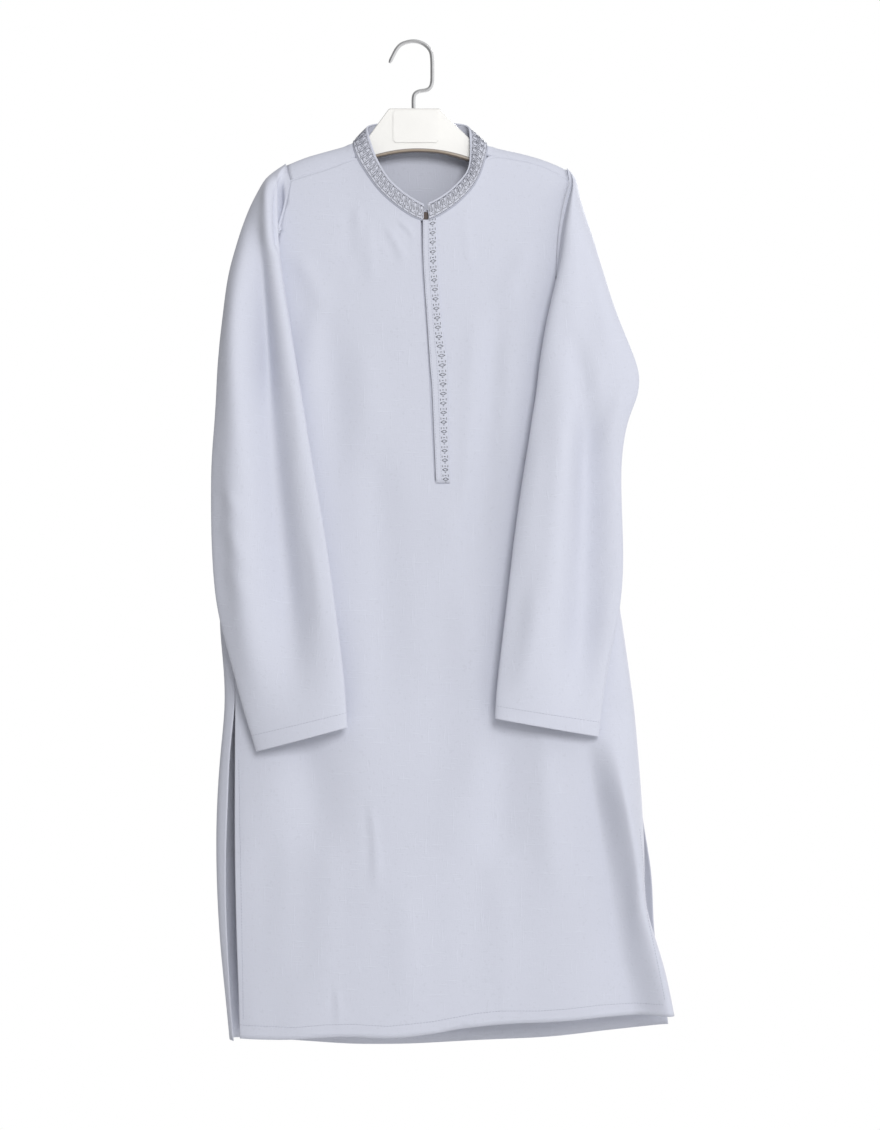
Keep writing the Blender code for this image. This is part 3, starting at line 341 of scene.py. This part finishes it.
def sewn(name, rows, finish, length=0.0024, gap=0.0011, thick=0.00030):
    """Rows of stitches: each row is its places and the cloth's direction at each."""
    mesh = bmesh.new()
    for places, ways in rows:
        places, ways = np.array(places), np.array(ways)
        run = np.concatenate([[0], np.cumsum(np.linalg.norm(np.diff(places, axis=0), axis=1))])
        start = gap / 2
        while start + length < run[-1]:
            ends = [[np.interp(s, run, column) for column in places.T]
                    for s in (start, start + length / 2, start + length)]
            up = np.array([np.interp(start, run, column) for column in ways.T])
            bar(mesh, np.array(ends), up / np.linalg.norm(up), thick)
            start += length + gap
    return joined(name, mesh, finish)


def bar(mesh, line, up, thick):
    """A short thread along a line of places, its ends dipping into the cloth."""
    rings = []
    for k, place in enumerate(line):
        along = line[min(k + 1, len(line) - 1)] - line[max(k - 1, 0)]
        side = np.cross(along, up)
        side = side / (np.linalg.norm(side) + 1e-12)
        tip = k in (0, len(line) - 1)
        rise = thick * (0.0 if tip else 0.55)
        ring = [place + side * thick * w + up * (rise + thick * h)
                for w, h in ((-1, -0.4), (-0.55, 0.6), (0.55, 0.6), (1, -0.4))]
        rings.append([mesh.verts.new(p) for p in ring])
    for a, b in zip(rings, rings[1:]):
        for k in range(4):
            mesh.faces.new([a[k], a[(k + 1) % 4], b[(k + 1) % 4], b[k]])
    mesh.faces.new(rings[0][::-1])
    mesh.faces.new(rings[-1])


def joined(name, mesh, finish):
    """One piece of all that a mesh holds."""
    bmesh.ops.recalc_face_normals(mesh, faces=mesh.faces)
    data = bpy.data.meshes.new(name)
    mesh.to_mesh(data)
    mesh.free()
    data.materials.append(finish)
    made = bpy.data.objects.new(name, data)
    bpy.context.collection.objects.link(made)
    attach(made, "root")
    return made


def cast(tree, x, z, side):
    """The place and direction of the cloth seen from the front (-1) or the back (1)."""
    hit = tree.ray_cast(Vector((x, side * 0.5, z)), Vector((0, -side, 0)))
    return hit[0], hit[1]


def seen_row(tree, points, side, step=0.003):
    """A stitch row through x, z points in millimetres, on the cloth seen from one side."""
    points = np.array(points, float) / 1000
    run = np.concatenate([[0], np.cumsum(np.linalg.norm(np.diff(points, axis=0), axis=1))])
    places, ways = [], []
    for s in np.arange(0, run[-1], step):
        place, way = cast(tree, float(np.interp(s, run, points[:, 0])),
                          float(np.interp(s, run, points[:, 1])), side)
        if place is not None:
            places.append(place)
            ways.append(way if way.y * side > 0 else -way)
    return places, ways


def edges_of(mesh):
    """The ordered places round the open edge of a mesh."""
    uses = {}
    for polygon in mesh.polygons:
        for key in polygon.edge_keys:
            uses[key] = uses.get(key, 0) + 1
    near = {}
    for (a, b), count in uses.items():
        if count == 1:
            near.setdefault(a, []).append(b)
            near.setdefault(b, []).append(a)
    start = min(near)
    ring, last = [start], None
    while True:
        ahead = [v for v in near[ring[-1]] if v != last]
        last = ring[-1]
        if ahead[0] == start:
            break
        ring.append(ahead[0])
    return ring


def tube(mesh, line, ways, radius, sides=8):
    """A round cord along a line of places, with one radius or one for each place."""
    rings, radii = [], np.broadcast_to(radius, len(line))
    for k, place in enumerate(line):
        along = line[min(k + 1, len(line) - 1)] - line[max(k - 1, 0)]
        side = np.cross(along, ways[k])
        side = side / np.linalg.norm(side)
        up = np.cross(side, along)
        up = up / np.linalg.norm(up)
        turns = [2 * math.pi * t / sides for t in range(sides)]
        rings.append([mesh.verts.new(place + radii[k] * (side * math.cos(t) + up * math.sin(t)))
                      for t in turns])
    for a, b in zip(rings, rings[1:]):
        for k in range(sides):
            mesh.faces.new([a[k], a[(k + 1) % sides], b[(k + 1) % sides], b[k]])
    mesh.faces.new(rings[0][::-1])
    mesh.faces.new(rings[-1])


def seam_cords(name, mesh, finish):
    """The turned-in cloth that fills the seams round the shoulders, armholes and neck. It is
    thickest where the shoulder seams meet the collar."""
    at, out = read(mesh)
    corner = np.minimum(np.hypot(at[:, 0] - 0.088, at[:, 2] + 0.132),
                        np.hypot(at[:, 0] + 0.067, at[:, 2] + 0.138))
    radius = 0.0011 + 0.0016 * np.exp(-(corner / 0.009) ** 2)
    ring = edges_of(mesh)
    sewn_here = [at[v][2] > -0.405 and (at[v][2] > -0.2 or abs(at[v][0] - 0.02) > 0.03)
                 for v in ring]
    first = sewn_here.index(False) if False in sewn_here else 0
    cords, run = bmesh.new(), []
    for k in range(len(ring) + 1):
        v = (first + k) % len(ring)
        if sewn_here[v] and k < len(ring):
            run.append(ring[v])
            continue
        if len(run) > 6:
            tube(cords, at[run] - out[run] * radius[run, None] * 0.82, out[run], radius[run],
                 sides=6)
        run = []
    return joined(name, cords, finish)


lilac = lilac_cloth("lilac_weave")
thread, thread_shader, _ = material("lilac_thread", 0.6, Sheen_Weight=0.2)
thread_shader.inputs["Base Color"].default_value = (0.40, 0.415, 0.49, 1)

front_mesh = smoothed("front_cloth", outside("front", WALL), 3)
creased(front_mesh, -1, (
    (-50, -870, -42, -985, 3, 1.4, 6),
    (-66, -186, -60, -262, 2, 1.0, 9),
    (-50, -200, -44, -290, -2, 0.8, 9),
    (-20, -208, 6, -232, 2, 1.1, 4),
    (-34, -214, -8, -262, 3, 0.9, 6),
    (58, -190, 66, -270, -4, 1.0, 9),
    (10, -486, 20, -508, 1, 1.0, 4),
    (-140, -760, -110, -960, 8, -5.0, 30),
    (112, -790, 104, -960, -6, -5.0, 26),
    (-120, -560, -104, -860, 6, 1.4, 24),
    (-46, -640, -60, -930, -7, 1.8, 28),
    (-50, -420, -30, -820, 6, -4.0, 32),
    (52, -600, 70, -900, 7, 2.4, 24),
    (98, -280, 64, -650, 6, -5.0, 20),
    (-102, -280, -76, -700, 4, -3.2, 28),
    (150, -760, 168, -1010, -5, 2.2, 18),
    (-150, -880, -160, -1120, 5, 1.2, 20),
    (-96, -900, -108, -1130, 4, 1.2, 20),
    (-8, -960, 2, -1140, -4, 1.3, 20),
    (92, -940, 104, -1125, 5, 1.4, 20),
    (-140, -240, -96, -330, 4, 1.5, 14),
    (138, -230, 104, -320, -4, 1.5, 14),
    (-112, -300, -130, -440, 3, 1.6, 18),
    (112, -330, 100, -500, -4, 1.8, 20),
    (-60, -330, -52, -520, 4, 1.4, 24),
    (-88, -1086, -84, -1140, 1, 0.9, 5),
    (102, -1075, 106, -1128, 1, 0.9, 5),
), seams=0.004, held=lambda at: ease(np.maximum(abs(at[:, 0] - 0.03) / 0.02 - 1,
                                                (-0.53 - at[:, 2]) / 0.04)))
# The lower right edge turns forward in a long fold, and is drawn in a little along the slit.
FOLD_FORWARD, DRAWN_IN = 0.040, 0.006
points, _ = read(front_mesh)
down = -points[:, 2]
turned_from = np.interp(down, (0.80, 0.83, 0.983, 1.06, 1.105, 1.13),
                        (0.193, 0.200, 0.225, 0.236, 0.247, 0.253))
turned = (points[:, 0] - turned_from) / np.interp(down, (0.83, 0.99, 1.13), (0.036, 0.050, 0.058))
turned_back = ease((points[:, 0] - turned_from - 0.034) / 0.03) * ease((0.99 - down) / 0.1)
turned = ease(turned) * ease((down - 0.77) / 0.12) * (1 - 0.7 * turned_back)
points[:, 1] -= np.where(points[:, 1] < 0.01, FOLD_FORWARD * turned, 0)
drawn_in = DRAWN_IN * np.exp(-((down - 0.995) / 0.05) ** 2)
points[:, 0] -= drawn_in * ease((points[:, 0] - 0.24) / 0.03)
front_mesh.vertices.foreach_set("co", points.ravel())
front_mesh.update()
front = shell("front_cloth", front_mesh, lilac)
front_seams = seam_cords("front_seam_edges", front_mesh, lilac)
front_tree = surface(front_mesh)
FRONT_HEM = [(-203, -1137), (-137, -1138), (-99, -1134), (-70, -1133), (-28, -1135), (21, -1130),
             (74, -1120.5), (102, -1118), (146, -1118), (174, -1116), (217, -1111.5),
             (292, -1109.5)]
LEFT_SLIT = [(-200.9, -830), (-198, -980), (-195.5, -1134)]
RIGHT_SLIT = [(260.4, -908), (269.6, -1012), (280, -1060), (289, -1106)]
front_hem = sewn("front_hem_stitches", [seen_row(front_tree, FRONT_HEM, -1),
                                        seen_row(front_tree, LEFT_SLIT, -1),
                                        seen_row(front_tree, RIGHT_SLIT, -1)], thread)


# The back panel: the same cloth, a little longer, brought over the shoulders to the forward
# seams. It shows inside the neck, beside the slits and under the front's hem.
back_mesh = smoothed("back_cloth", outside("back", WALL), 2)
creased(back_mesh, 1, (
    (-120, -240, -140, -900, 10, 2.4, 20),
    (-52, -260, -66, -760, -9, -2.6, 16),
    (36, -250, 52, -880, 8, 2.2, 22),
    (118, -280, 140, -980, -8, -2.4, 18),
    (-10, -520, -16, -1120, 7, 1.9, 18),
    (84, -700, 96, -1120, -6, 1.8, 15),
    (-96, -820, -104, -1130, 5, 1.7, 13),
    (170, -860, 196, -1100, 5, 1.9, 13),
))
# Beside the right slit the back reaches out a little past the front.
REACH = 0.0105
points, _ = read(back_mesh)
reach = REACH * np.exp(-((points[:, 2] + 0.968) / 0.068) ** 2)
points[:, 0] += reach * ease((points[:, 0] - 0.20) / 0.06)
back_mesh.vertices.foreach_set("co", points.ravel())
back_mesh.update()
back = shell("back_cloth", back_mesh, lilac)
back_seams = seam_cords("back_seam_edges", back_mesh, lilac)
back_tree = surface(back_mesh)
BACK_HEM = [(-196, -1143), (-130, -1150), (-40, -1152), (40, -1149), (120, -1144), (180, -1139),
            (250, -1132), (285, -1128)]
back_hem = sewn("back_hem_stitches", [seen_row(back_tree, BACK_HEM, 1)], thread)


# The sleeves: one cut each, open at the cuff, hanging forward over the front panel. The arm's
# cloth falls in a long soft trough and wrinkles where the elbow bends.
def ring_row(tree, middle, reach, count=120):
    """A stitch row all round a sleeve, level with its middle or leaning with reach's last."""
    places, ways = [], []
    for k in range(count + 1):
        turn = 2 * math.pi * k / count
        way = Vector((math.cos(turn) * reach[0], math.sin(turn) * reach[1],
                      math.cos(turn) * reach[2]))
        start = Vector(middle) + way
        hit = tree.ray_cast(start, -way.normalized())
        if hit[0] is not None:
            places.append(hit[0])
            ways.append(hit[1] if hit[1].dot(way) > 0 else -hit[1])
    return places, ways


lilac_left = lilac_cloth("lilac_weave_left", lean=math.radians(-8))
left_mesh = smoothed("sleeve_left_cloth", outside("sleeve_left", WALL), 3)
creased(left_mesh, -1, (
    (-180, -205, -126, -800, -8, -22.0, 25),
    (-182, -186, -168, -450, 0, -8.5, 15),
    (-159, -150, -149, -252, 0, -13.0, 8),
    (-210, -215, -200, -520, 8, 3.0, 18),
    (-212, -450, -170, -790, -6, 2.6, 16),
    (-192, -208, -206, -365, 4, 1.5, 9),
    (-212, -520, -196, -556, 3, 1.3, 9),
    (-206, -560, -176, -620, -4, 1.4, 11),
    (-214, -600, -180, -660, 4, 1.0, 12),
    (-120, -560, -104, -700, 4, 1.0, 9),
    (-140, -380, -128, -500, 3, 0.9, 9),
), seams=0.0025)
creased(left_mesh, 1, (
    (-130, -470, -112, -760, 5, 2.4, 14),
    (-190, -300, -200, -560, -5, 2.2, 14),
    (-180, -600, -160, -780, 4, 1.8, 12),
))
sleeve_left = shell("sleeve_left_cloth", left_mesh, lilac_left)
left_tree = surface(left_mesh)
left_cuff = sewn("sleeve_left_stitches",
                 [ring_row(left_tree, (-0.1265, -0.049, -0.787), (0.09, 0.06, 0.0223))], thread)

lilac_right = lilac_cloth("lilac_weave_right", lean=math.radians(8))
right_mesh = smoothed("sleeve_right_cloth", outside("sleeve_right", WALL), 3)
creased(right_mesh, -1, (
    (182, -330, 200, -520, 6, -4.5, 18),
    (202, -390, 188, -800, 5, -20.0, 27),
    (168, -250, 150, -420, -4, 1.8, 14),
    (204, -240, 226, -380, 5, 2.4, 14),
    (222, -380, 190, -440, -4, 0.9, 12),
    (240, -396, 214, -480, 4, 1.6, 10),
    (240, -520, 212, -548, 3, 1.2, 9),
    (236, -575, 206, -610, -3, 1.2, 10),
    (150, -440, 126, -640, -5, 2.4, 16),
    (140, -620, 118, -770, 4, 2.2, 14),
    (226, -620, 204, -780, 4, 1.6, 13),
))
creased(right_mesh, 1, (
    (150, -470, 120, -760, 5, 2.4, 14),
    (220, -300, 226, -560, -5, 2.2, 14),
    (216, -600, 190, -780, 4, 1.8, 12),
))
sleeve_right = shell("sleeve_right_cloth", right_mesh, lilac_right)
right_tree = surface(right_mesh)
right_cuff = sewn("sleeve_right_stitches",
                  [ring_row(right_tree, (0.1535, -0.049, -0.776), (0.09, 0.06, -0.0149))], thread)


# The collar: a standing band, plain inside, with a woven key pattern in grey silk outside, a
# thin piped upper edge and a line of close stitches along both edges.
def band_cloth():
    """The band's grey ground, a little darker and smoother than the garment."""
    made, shader, at = material("collar_weave", 0.6, Sheen_Weight=0.15, Specular_IOR_Level=0.35)
    threads = (at.noise((1300, 1300, 300)) + at.noise((300, 300, 1300))) * 0.5
    colour = threads.mixed((0.47, 0.485, 0.56, 1), (0.65, 0.665, 0.74, 1))
    made.node_tree.links.new(colour.out, shader.inputs["Base Color"])
    relief = at.node("Bump", Height=threads, Strength=0.5, Distance=0.0004)
    made.node_tree.links.new(relief.out, shader.inputs["Normal"])
    return made


def silk(name, dark, light):
    """Twisted silk embroidery thread: darker plies with short painted glints in its colour."""
    made, shader, at = material(name, 0.34, Sheen_Weight=0.1, Specular_IOR_Level=0.6)
    twist_and_painted_glints = at.noise((900, 900, 900), 1.0)
    # The lighter flecks in the colour are painted highlight; the shader's gloss adds real glints
    # as well.
    colour = twist_and_painted_glints.between(0.35, 0.65).mixed((*dark, 1), (*light, 1))
    made.node_tree.links.new(colour.out, shader.inputs["Base Color"])
    relief = at.node("Bump", Height=twist_and_painted_glints, Strength=0.5, Distance=0.0003)
    made.node_tree.links.new(relief.out, shader.inputs["Normal"])
    return made


class Band:
    """A long strip of cloth, with a place for each share along it and across it."""

    def __init__(self, mesh, low, high):
        at, _ = read(mesh)
        self.places = at[edges_of(mesh)]
        ends = [self.nearest(place) for place in (*low, *high)]
        self.low = self.side(ends[0], ends[1], ends[2])
        self.high = self.side(ends[2], ends[3], ends[0])
        self.length = float(np.linalg.norm(np.diff(self.low, axis=0), axis=1).sum())
        self.tree = surface(mesh)

    def nearest(self, place):
        return int(np.argmin(np.linalg.norm(self.places - np.array(place) / 1000, axis=1)))

    def side(self, start, end, other):
        """The edge from start to end that doesn't pass another corner, in even steps."""
        count = len(self.places)
        way = [(start + k) % count for k in range((end - start) % count + 1)]
        if other in way:
            way = [(start - k) % count for k in range((start - end) % count + 1)]
        line = self.places[way]
        run = np.concatenate([[0], np.cumsum(np.linalg.norm(np.diff(line, axis=0), axis=1))])
        even = np.linspace(0, run[-1], 400)
        return np.stack([np.interp(even, run, column) for column in line.T], axis=-1)

    def at(self, along, across, lift=0.0):
        """A place on the band and the cloth's direction there."""
        k = np.clip(along, 0, 1) * (len(self.low) - 1)
        low = [np.interp(k, np.arange(len(self.low)), c) for c in self.low.T]
        high = [np.interp(k, np.arange(len(self.high)), c) for c in self.high.T]
        wanted = np.array(low) * (1 - across) + np.array(high) * across
        place, way, _, _ = self.tree.find_nearest(Vector(wanted))
        return np.array(place) + np.array(way) * lift, np.array(way)


def row_on(band, across, lift=0.0, low=0.004, high=0.996):
    """A stitch row along a band."""
    spots = [band.at(s, across, lift) for s in np.linspace(low, high, 240)]
    return [place for place, _ in spots], [way for _, way in spots]


def embroidered(name, band, chart, repeat, across, finish, thick):
    """Works a charted repeat along a band, a little unevenly as by hand. The chart's lines run
    along and across one repeat."""
    mesh = bmesh.new()
    hand = random.Random(len(name))
    count = round(band.length / repeat)
    for k in range(count):
        for line in chart:
            for (u0, v0), (u1, v1) in zip(line, line[1:]):
                spots = []
                for s in (0.0, 0.5, 1.0):
                    u = (k + 0.02 + 0.96 * (u0 + (u1 - u0) * s)) / count
                    v = across[0] + (across[1] - across[0]) * (v0 + (v1 - v0) * s)
                    spots.append(band.at(u, v + hand.uniform(-0.006, 0.006)))
                bar(mesh, np.array([place for place, _ in spots]), spots[1][1], thick)
    return joined(name, mesh, finish)


collar_ground = band_cloth()
grey_silk = silk("grey_silk", (0.06, 0.065, 0.09), (0.30, 0.305, 0.35))
dark_silk = silk("dark_silk", (0.12, 0.125, 0.16), (0.24, 0.245, 0.29))
collar_mesh = smoothed("collar_cloth", outside("collar", WALL), 3)
collar = shell("collar_cloth", collar_mesh, collar_ground, thick=0.0012)
collar_mesh.materials.append(lilac)
collar.modifiers["cloth"].material_offset = 1
collar_band = Band(collar_mesh, ((11.6, -31.5, -207.8), (18.2, -31.4, -207.4)),
                   ((12.8, -29.2, -191.1), (18.0, -29.2, -190.5)))
KEY = (
    ((0.04, 0.0), (0.04, 1.0)),
    ((0.04, 1.0), (0.52, 1.0), (0.52, 0.42), (0.30, 0.42), (0.30, 0.72)),
    ((0.04, 0.14), (0.74, 0.14), (0.74, 0.80)),
    ((0.88, 0.0), (0.88, 0.34)),
    ((0.88, 0.52), (0.88, 1.0)),
    ((0.20, 0.28), (0.34, 0.28)),
    ((0.62, 0.92), (0.74, 0.92)),
)
collar_key = embroidered("collar_key_pattern", collar_band, KEY, 0.0088, (0.085, 0.85),
                         grey_silk, 0.00044)
collar_rows = sewn("collar_edge_rows", [row_on(collar_band, 0.035), row_on(collar_band, 0.90)],
                   dark_silk, length=0.0017, gap=0.0005, thick=0.00042)
piping = bmesh.new()
edge_places = [collar_band.at(s, 1.0) for s in np.linspace(0.0, 1.0, 220)]
tube(piping, [place - way * 0.0006 for place, way in edge_places],
     [way for _, way in edge_places], 0.00105)
collar_piping = joined("collar_piping", piping, lilac)
# The cord under the collar's lower edge is the real neck seam; its darker thread colour is painted
# shadow along that edge.
neck_seam = bmesh.new()
under = collar_band.low[::2] * 1.02 - collar_band.high[::2] * 0.02
neck_ways = [collar_band.at(s, 0.0)[1] for s in np.linspace(0.0, 1.0, len(under))]
tube(neck_seam, under - np.array(neck_ways) * 0.0019, neck_ways, 0.0017)
collar_seam_painted_shadow = joined("collar_neck_seam_painted_shadow", neck_seam, thread)


# The placket: an outer strip on the right of the slit that laps the inner strip, both sewn down
# at the foot. Its outer half is worked in silver grey silk with small diamonds and short bars.
STRIP_WALL = 0.0012
over_mesh = smoothed("placket_overlap_cloth", outside("placket_overlap", STRIP_WALL), 3)
overlap = shell("placket_overlap_cloth", over_mesh, lilac, thick=0.0008)
over_band = Band(over_mesh, ((11.5, -32, -208.6), (25.9, -37.7, -512)),
                 ((27.4, -31.6, -205.8), (42.8, -37.6, -512)))
silver_silk = silk("silver_silk", (0.035, 0.04, 0.06), (0.26, 0.27, 0.31))
DIAMONDS = (
    ((0.08, 0.14), (0.32, 0.14)),
    ((0.08, 0.86), (0.32, 0.86)),
    ((0.20, 0.38), (0.20, 0.62)),
    ((0.44, 0.5), (0.60, 0.90), (0.76, 0.5), (0.60, 0.10), (0.44, 0.5)),
    ((0.90, 0.40), (0.90, 0.60)),
)
placket_work = embroidered("placket_diamonds", over_band, DIAMONDS, 0.0110, (0.44, 0.97),
                           silver_silk, 0.00046)
placket_rows = sewn("placket_edge_rows", [row_on(over_band, 0.10), row_on(over_band, 0.40)],
                    thread, length=0.0022, gap=0.0009, thick=0.00024)
under_mesh = smoothed("placket_underlap_cloth", outside("placket_underlap", STRIP_WALL), 2)
underlap = shell("placket_underlap_cloth", under_mesh, lilac, thick=0.0008)


# The small dark button behind the notch: turned horn with a soft polish.
horn, horn_shader, horn_at = material("dark_horn", 0.45)
streak = horn_at.noise((300, 300, 900), 3.0)
horn_colour = streak.mixed((0.020, 0.010, 0.006, 1), (0.075, 0.035, 0.020, 1))
horn.node_tree.links.new(horn_colour.out, horn_shader.inputs["Base Color"])
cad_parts["collar_button"].data.materials.clear()
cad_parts["collar_button"].data.materials.append(horn)


# The hanger: moulded, lacquered ivory, with a brown band of painted shade, darker at its rims,
# along the lower edge over the neck opening, and a thin bare plate on the front.
def ivory(name, edge):
    made, shader, at = material(name, 0.22, Coat_Weight=0.3, Coat_Roughness=0.08)
    cloudy = at.noise((26, 26, 26), 2.0)
    grain = at.noise((700, 700, 700), 1.0)
    colour = cloudy.mixed((0.77, 0.76, 0.735, 1), (0.82, 0.81, 0.785, 1))
    # With edge, a brown band of painted shade, darker at its two rims, follows the lower edge.
    if edge:
        x = at.node("SeparateXYZ", Vector=at)
        z = at.node("SeparateXYZ", result=2, Vector=at)
        arc = -0.1268 - 2.9 * (x - 0.006) * (x - 0.006)
        band = 1 - (z - arc).between(0.0038, 0.0046)
        middle = (z - arc).between(0.0008, 0.0014) - (z - arc).between(0.0028, 0.0036)
        colour = band.mixed(colour, middle.mixed((0.15, 0.12, 0.10, 1), (0.31, 0.25, 0.19, 1)))
    made.node_tree.links.new(colour.out, shader.inputs["Base Color"])
    made.node_tree.links.new((0.18 + cloudy * 0.12).out, shader.inputs["Roughness"])
    relief = at.node("Bump", Height=grain, Strength=0.08, Distance=0.0002)
    made.node_tree.links.new(relief.out, shader.inputs["Normal"])
    return made


for node, edge in (("hanger", True), ("hanger_plate", False)):
    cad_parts[node].data.materials.clear()
    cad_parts[node].data.materials.append(ivory("ivory_lacquer_" + node, edge))


# The hook: bent steel rod, plated bright, worn a little in patches all over.
plated, plated_shader, plated_at = material("bright_plate", 0.1, Metallic=1.0)
rubbed = plated_at.noise((160, 160, 160), 3.0)
plate_colour = rubbed.mixed((0.66, 0.66, 0.67, 1), (0.82, 0.82, 0.83, 1))
plated.node_tree.links.new(plate_colour.out, plated_shader.inputs["Base Color"])
plated.node_tree.links.new((0.06 + rubbed * 0.16).out, plated_shader.inputs["Roughness"])
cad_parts["hook"].data.materials.clear()
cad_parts["hook"].data.materials.append(plated)
